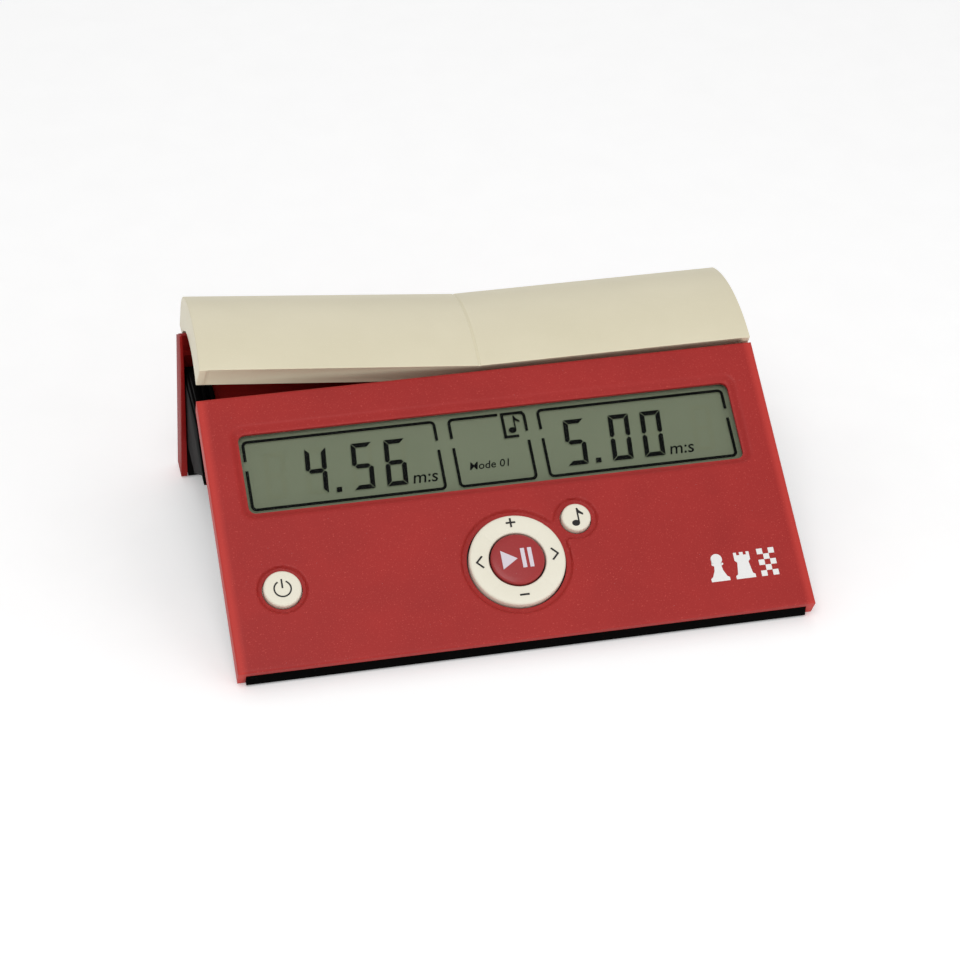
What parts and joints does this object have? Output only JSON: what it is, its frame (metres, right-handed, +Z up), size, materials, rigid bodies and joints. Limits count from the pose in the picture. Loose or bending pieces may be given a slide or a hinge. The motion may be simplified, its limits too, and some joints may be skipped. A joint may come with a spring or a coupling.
{
  "type": "chess clock",
  "caption": "Digital chess clock with a tilted front holding a wide display, a ring pad and round keys, a leaning rear leg, and a long two-armed rocker lever across the top.",
  "frame": {"origin": "on the table, at the middle of the footprint", "axes": "+Z up, +X to the right as the players' display is read, -Y towards the reader"},
  "size_m": [0.1534, 0.112, 0.0616],
  "materials": {
    "red_shell": "dark red moulded plastic, fine spark-eroded texture",
    "red_key": "red domed key, semi-gloss",
    "ivory_plastic": "warm ivory moulded plastic, satin",
    "black_plastic": "black moulded plastic, fine matt texture",
    "clear_lens": "clear acrylic window, polished",
    "display_glass": "grey-green liquid crystal display",
    "foil": "brushed reflector foil",
    "grey_rubber": "silicone rubber",
    "black_rubber": "soft foot pads",
    "circuit_board": "green solder mask on glass fibre board",
    "steel": "bright zinc plated",
    "brass": "plated spring brass",
    "cell_jacket": "plain printed cell jacket",
    "red_wire": "insulated wire",
    "black_wire": "insulated wire"
  },
  "bodies": {
    "housing": {"front_cover": "red_shell", "window_lens": "clear_lens", "lcd_cell": "display_glass", "lcd_reflector": "foil", "lcd_frame": "black_plastic", "zebra_strip_lower": "grey_rubber", "zebra_strip_upper": "grey_rubber", "main_board": "circuit_board", "controller_chip": "black_plastic", "crystal_can": "steel", "piezo_buzzer": "brass", "keypad_mat": "grey_rubber", "base_frame": "black_plastic", "front_foot_left": "black_rubber", "front_foot_right": "black_rubber", "rear_foot_left": "black_rubber", "rear_foot_right": "black_rubber", "rear_cover": "red_shell", "battery_cell": "cell_jacket", "battery_spring": "steel", "battery_contact": "brass", "battery_wire_red": "red_wire", "battery_wire_black": "black_wire", "switch_board": "circuit_board", "lever_switch_left": "black_plastic", "lever_switch_right": "black_plastic", "switch_ribbon": "grey_rubber", "lever_pin": "steel", "pivot_bracket": "black_plastic", "board_screw_1": "steel", "board_screw_2": "steel", "board_screw_3": "steel", "board_screw_4": "steel", "case_screw_1": "steel", "case_screw_2": "steel", "case_screw_3": "steel", "case_screw_4": "steel", "case_screw_5": "steel", "case_screw_6": "steel", "rear_screw_1": "steel", "rear_screw_2": "steel", "rear_screw_3": "steel", "rear_screw_4": "steel", "bracket_screw_1": "steel", "bracket_screw_2": "steel"},
    "lever": {"rocker_lever": "ivory_plastic"},
    "plunger_left": {"switch_plunger_left": "ivory_plastic"},
    "plunger_right": {"switch_plunger_right": "ivory_plastic"},
    "power_key": {"power_button": "ivory_plastic"},
    "sound_key": {"sound_button": "ivory_plastic"},
    "play_key": {"play_button": "red_key"},
    "nav_gimbal": {"nav_carrier": "black_plastic"},
    "nav_pad": {"nav_ring": "ivory_plastic"},
    "battery_cover": {"battery_door": "red_shell"}
  },
  "joints": [
    {"name": "lever_rock", "type": "hinge", "parent": "housing", "child": "lever", "pos_m": [0, 0.03, 0.044], "axis": [0, -1, 0], "range_deg": [0, 5.76]},
    {"name": "plunger_left_slide", "type": "slide", "parent": "housing", "child": "plunger_left", "axis": [0, 0, -1], "range_m": [0, 0.00185]},
    {"name": "plunger_right_slide", "type": "slide", "parent": "housing", "child": "plunger_right", "axis": [0, 0, 1], "range_m": [0, 0.00185]},
    {"name": "play_press", "type": "slide", "parent": "housing", "child": "play_key", "axis": [0, 0.5446, -0.8387], "range_m": [0, 0.0009], "stiffness_N_per_m": 250},
    {"name": "sound_press", "type": "slide", "parent": "housing", "child": "sound_key", "axis": [0, 0.5446, -0.8387], "range_m": [0, 0.0008], "stiffness_N_per_m": 250},
    {"name": "power_press", "type": "slide", "parent": "housing", "child": "power_key", "axis": [0, 0.5446, -0.8387], "range_m": [0, 0.0008], "stiffness_N_per_m": 250},
    {"name": "nav_tilt_v", "type": "hinge", "parent": "housing", "child": "nav_gimbal", "pos_m": [0, -0.03598, 0.01387], "axis": [1, 0, 0], "range_deg": [-2.2, 2.2], "stiffness_Nm_per_rad": 0.05},
    {"name": "nav_tilt_u", "type": "hinge", "parent": "nav_gimbal", "child": "nav_pad", "pos_m": [0, -0.03598, 0.01387], "axis": [0, 0.8387, 0.5446], "range_deg": [-2.2, 2.2], "stiffness_Nm_per_rad": 0.05},
    {"name": "battery_door_slide", "type": "slide", "parent": "housing", "child": "battery_cover", "axis": [1, 0, 0], "range_m": [0, 0.0055]}
  ],
  "couplings": [
    {"joint": "plunger_left_slide", "follows": "lever_rock", "m_per_rad": 0.018},
    {"joint": "plunger_right_slide", "follows": "lever_rock", "m_per_rad": 0.018}
  ]
}
